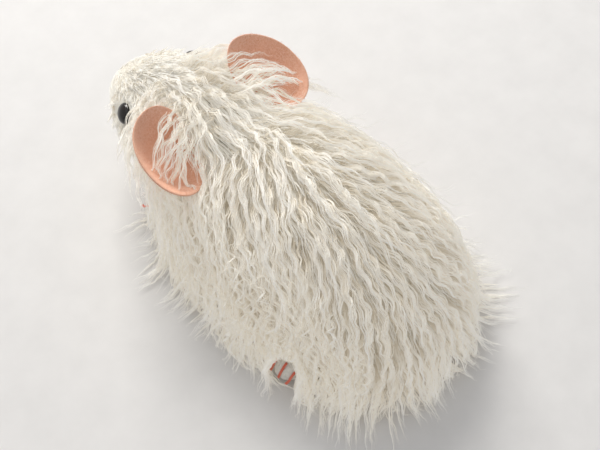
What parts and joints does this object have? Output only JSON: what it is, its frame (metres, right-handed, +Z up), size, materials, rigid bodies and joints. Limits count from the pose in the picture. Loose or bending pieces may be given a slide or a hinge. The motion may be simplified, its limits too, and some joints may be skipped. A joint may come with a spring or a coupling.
{
  "type": "clockwork mouse",
  "caption": "Long-haired plush mouse with felt ears and domed eyes, driven along the floor by a key-wound spring motor and wheels.",
  "frame": {"origin": "on the floor, under the middle of the whole mouse", "axes": "+X to the mouse's left, +Y towards its rump, +Z up; it faces -Y"},
  "size_m": [0.1, 0.1942, 0.0822],
  "materials": {
    "pile": "long wavy plush pile, cream white",
    "wadding": "loose fibre filling",
    "ear_felt": "peach-pink felt",
    "nose_felt": "pink felt",
    "eye_bead": "polished black",
    "body_shell": "moulded grey",
    "wheel_plastic": "moulded dark grey",
    "tinplate": "bright tinplate",
    "brass": "stamped brass",
    "turned_steel": "turned steel",
    "spring_steel": "tempered blue-grey strip",
    "tyre_rubber": "matt black rubber"
  },
  "bodies": {
    "chassis": {"body_coat": "pile", "body_padding": "wadding", "head_coat": "pile", "head_padding": "wadding", "ear_left": "ear_felt", "ear_right": "ear_felt", "eye_left": "eye_bead", "eye_right": "eye_bead", "eye_washer_left": "turned_steel", "eye_washer_right": "turned_steel", "nose": "nose_felt", "foot_front_left": "pile", "foot_front_right": "pile", "foot_rear_left": "pile", "foot_rear_right": "pile", "body_shell": "body_shell", "floor_pan": "tinplate", "shell_screw_1": "turned_steel", "shell_screw_2": "turned_steel", "shell_screw_3": "turned_steel", "shell_screw_4": "turned_steel", "motor_rivet_1": "turned_steel", "motor_rivet_2": "turned_steel", "motor_rivet_3": "turned_steel", "motor_rivet_4": "turned_steel", "motor_plate_left": "tinplate", "motor_plate_right": "tinplate", "pillar_front_lower": "turned_steel", "pillar_front_upper": "turned_steel", "pillar_rear_lower": "turned_steel", "pillar_rear_upper": "turned_steel", "mainspring": "spring_steel", "front_bracket": "tinplate", "front_axle": "turned_steel", "key_lining": "brass"},
    "winding": {"winding_key": "brass", "winding_arbor": "turned_steel", "ratchet_wheel": "turned_steel"},
    "great": {"great_wheel": "brass", "click_rivet": "turned_steel", "click_spring": "spring_steel"},
    "pawl": {"click": "turned_steel"},
    "second": {"second_arbor": "turned_steel", "second_pinion": "turned_steel", "second_wheel": "brass"},
    "drive": {"drive_axle": "turned_steel", "drive_pinion": "turned_steel", "drive_wheel_left": "wheel_plastic", "drive_wheel_right": "wheel_plastic", "tyre_left": "tyre_rubber", "tyre_right": "tyre_rubber"},
    "steer": {"front_wheel": "wheel_plastic"}
  },
  "joints": [
    {"name": "drive_axle_turn", "type": "hinge", "parent": "chassis", "child": "drive", "pos_m": [0, 0.03093, 0.0119], "axis": [1, 0, 0], "continuous": true},
    {"name": "second_arbor_turn", "type": "hinge", "parent": "chassis", "child": "second", "pos_m": [0, 0.01856, 0.0214], "axis": [1, 0, 0], "continuous": true},
    {"name": "great_wheel_turn", "type": "hinge", "parent": "chassis", "child": "great", "pos_m": [0, -0.0009, 0.027], "axis": [1, 0, 0], "continuous": true},
    {"name": "key_turn", "type": "hinge", "parent": "chassis", "child": "winding", "pos_m": [0, -0.0009, 0.027], "axis": [1, 0, 0], "continuous": true, "deforming": ["mainspring"]},
    {"name": "click_lift", "type": "hinge", "parent": "great", "child": "pawl", "pos_m": [-0.0074, 0.0091, 0.02413], "axis": [-1, 0, 0], "range_deg": [0, 11], "stiffness_Nm_per_rad": 0.0005, "springref_deg": -17.19, "deforming": ["click_spring"]},
    {"name": "front_wheel_turn", "type": "hinge", "parent": "chassis", "child": "steer", "pos_m": [0, -0.0281, 0.00793], "axis": [1, 0, 0], "continuous": true}
  ],
  "couplings": [
    {"joint": "second_arbor_turn", "follows": "drive_axle_turn", "ratio": -0.33333},
    {"joint": "great_wheel_turn", "follows": "drive_axle_turn", "ratio": 0.095238},
    {"joint": "key_turn", "follows": "drive_axle_turn", "ratio": 0.095238}
  ]
}
